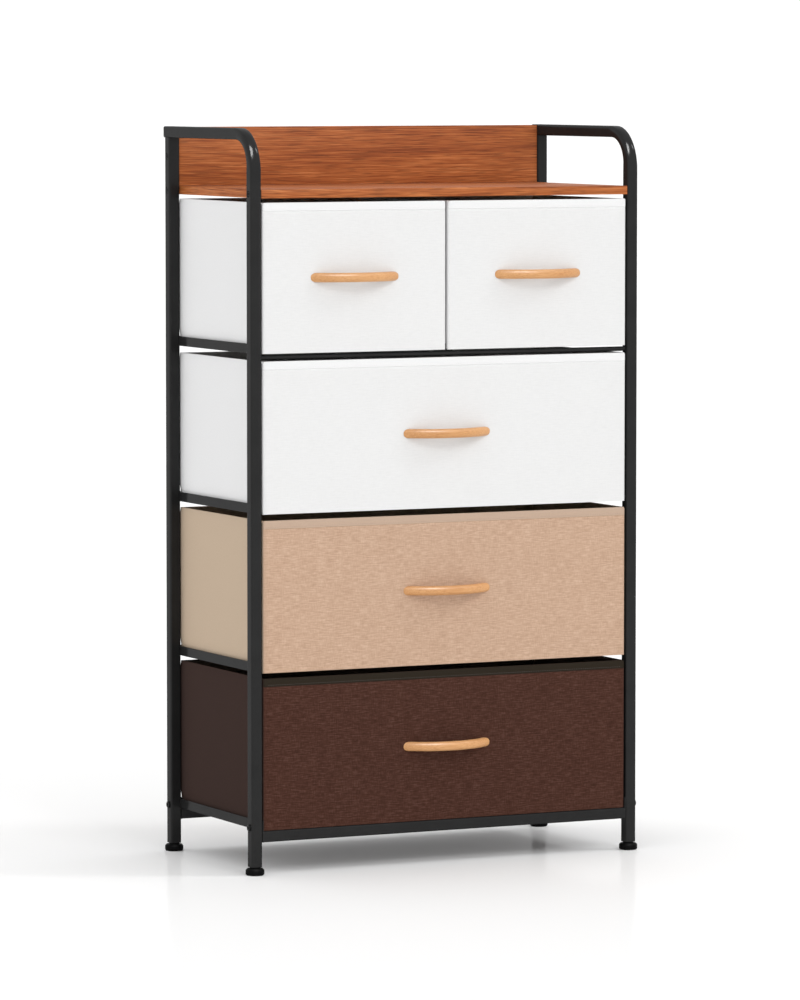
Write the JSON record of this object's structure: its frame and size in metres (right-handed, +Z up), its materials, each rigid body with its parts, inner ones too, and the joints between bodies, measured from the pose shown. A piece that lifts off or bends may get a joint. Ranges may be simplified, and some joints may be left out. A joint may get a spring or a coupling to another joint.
{
  "type": "fabric drawer dresser",
  "caption": "Upright dresser: steel tube frame with raised arms, wood-grain top shelf and back board, two small fabric drawers above wide ones, bow pulls and levelling feet.",
  "frame": {"origin": "on the floor, under the middle of the bounding box", "axes": "+Z up, the drawers open towards -Y, +X to the right seen from the front"},
  "size_m": [0.61, 0.3182, 1.026],
  "materials": {
    "frame_metal": "satin black powder coat",
    "fastener": "black oxide",
    "foot_plastic": "moulded black",
    "board": "red-brown wood-grain board, satin",
    "pull_wood": "light wood, clear satin lacquer",
    "bottom_board": "dark fibreboard",
    "white_fabric": "white linen-look weave",
    "tan_fabric": "tan linen-look weave",
    "brown_fabric": "dark brown linen-look weave"
  },
  "bodies": {
    "frame": {"left_side_tube": "frame_metal", "left_rear_post": "frame_metal", "left_back_board_screw": "fastener", "lowest_rail_left": "frame_metal", "third_rail_left": "frame_metal", "second_rail_left": "frame_metal", "top_rail_left": "frame_metal", "front_left_frame_bolt": "fastener", "front_left_shelf_screw": "fastener", "rear_left_frame_bolt": "fastener", "rear_left_shelf_screw": "fastener", "right_side_tube": "frame_metal", "right_rear_post": "frame_metal", "right_back_board_screw": "fastener", "lowest_rail_right": "frame_metal", "third_rail_right": "frame_metal", "second_rail_right": "frame_metal", "top_rail_right": "frame_metal", "front_right_frame_bolt": "fastener", "front_right_shelf_screw": "fastener", "rear_right_frame_bolt": "fastener", "rear_right_shelf_screw": "fastener", "front_bottom_rail": "frame_metal", "rear_bottom_rail": "frame_metal", "front_cross_bar": "frame_metal", "third_rear_bar": "frame_metal", "second_rear_bar": "frame_metal", "top_rear_bar": "frame_metal", "centre_rail": "frame_metal", "top_shelf": "board", "back_board": "board"},
    "lowest_drawer": {"lowest_bin": "brown_fabric", "lowest_bottom_board": "bottom_board", "lowest_pull": "pull_wood", "lowest_pull_screw_left": "fastener", "lowest_pull_screw_right": "fastener"},
    "third_drawer": {"third_bin": "tan_fabric", "third_bottom_board": "bottom_board", "third_pull": "pull_wood", "third_pull_screw_left": "fastener", "third_pull_screw_right": "fastener"},
    "second_drawer": {"second_bin": "white_fabric", "second_bottom_board": "bottom_board", "second_pull": "pull_wood", "second_pull_screw_left": "fastener", "second_pull_screw_right": "fastener"},
    "top_left_drawer": {"top_left_bin": "white_fabric", "top_left_bottom_board": "bottom_board", "top_left_pull": "pull_wood", "top_left_pull_screw_left": "fastener", "top_left_pull_screw_right": "fastener"},
    "top_right_drawer": {"top_right_bin": "white_fabric", "top_right_bottom_board": "bottom_board", "top_right_pull": "pull_wood", "top_right_pull_screw_left": "fastener", "top_right_pull_screw_right": "fastener"},
    "front_left_levelling_foot": {"front_left_foot": "foot_plastic"},
    "front_right_levelling_foot": {"front_right_foot": "foot_plastic"},
    "rear_left_levelling_foot": {"rear_left_foot": "foot_plastic"},
    "rear_right_levelling_foot": {"rear_right_foot": "foot_plastic"}
  },
  "joints": [
    {"name": "lowest_drawer_slide", "type": "slide", "parent": "frame", "child": "lowest_drawer", "axis": [0, -1, 0], "range_m": [0, 0.2]},
    {"name": "third_drawer_slide", "type": "slide", "parent": "frame", "child": "third_drawer", "axis": [0, -1, 0], "range_m": [0, 0.2]},
    {"name": "second_drawer_slide", "type": "slide", "parent": "frame", "child": "second_drawer", "axis": [0, -1, 0], "range_m": [0, 0.2]},
    {"name": "top_left_drawer_slide", "type": "slide", "parent": "frame", "child": "top_left_drawer", "axis": [0, -1, 0], "range_m": [0, 0.2]},
    {"name": "top_right_drawer_slide", "type": "slide", "parent": "frame", "child": "top_right_drawer", "axis": [0, -1, 0], "range_m": [0, 0.2]},
    {"name": "front_left_foot_turn", "type": "hinge", "parent": "frame", "child": "front_left_levelling_foot", "pos_m": [-0.292, -0.12735, 0.0115], "axis": [0, 0, 1], "continuous": true},
    {"name": "front_right_foot_turn", "type": "hinge", "parent": "frame", "child": "front_right_levelling_foot", "pos_m": [0.292, -0.12735, 0.0115], "axis": [0, 0, 1], "continuous": true},
    {"name": "rear_left_foot_turn", "type": "hinge", "parent": "frame", "child": "rear_left_levelling_foot", "pos_m": [-0.292, 0.14665, 0.0115], "axis": [0, 0, 1], "continuous": true},
    {"name": "rear_right_foot_turn", "type": "hinge", "parent": "frame", "child": "rear_right_levelling_foot", "pos_m": [0.292, 0.14665, 0.0115], "axis": [0, 0, 1], "continuous": true}
  ]
}
